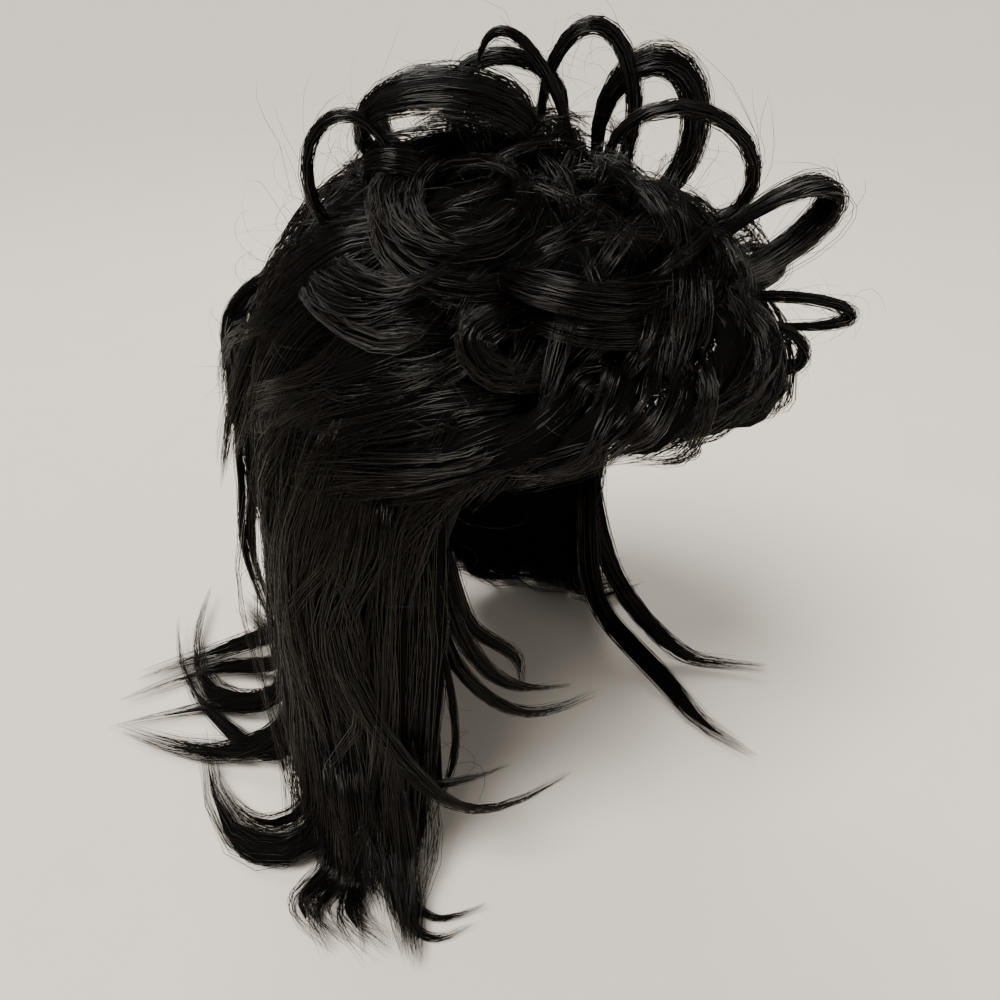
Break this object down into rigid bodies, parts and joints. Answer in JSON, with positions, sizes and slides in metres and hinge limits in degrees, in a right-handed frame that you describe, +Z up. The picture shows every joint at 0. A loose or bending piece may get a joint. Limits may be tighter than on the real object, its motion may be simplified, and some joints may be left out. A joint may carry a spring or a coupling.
{
  "type": "synthetic wig",
  "caption": "Dark synthetic wig: stretch cap under barrel curls on the crown, a curled fringe, side waves swept back and long straight falls with flicked ends.",
  "frame": {"origin": "inside of the cap at the crown, where the wearer's head carries it", "axes": "+Z up, -Y toward the front, -X toward the wearer's right"},
  "size_m": [0.2934, 0.3504, 0.343],
  "materials": {
    "hair_fibre": "satin dyed fibre",
    "cap_net": "matt stretch net"
  },
  "bodies": {
    "root": {"wig_cap": "cap_net", "crown_curls": "hair_fibre", "front_fringe": "hair_fibre", "right_side_waves": "hair_fibre", "left_side_waves": "hair_fibre", "back_fall": "hair_fibre", "right_fall": "hair_fibre", "left_fall": "hair_fibre"}
  },
  "joints": []
}
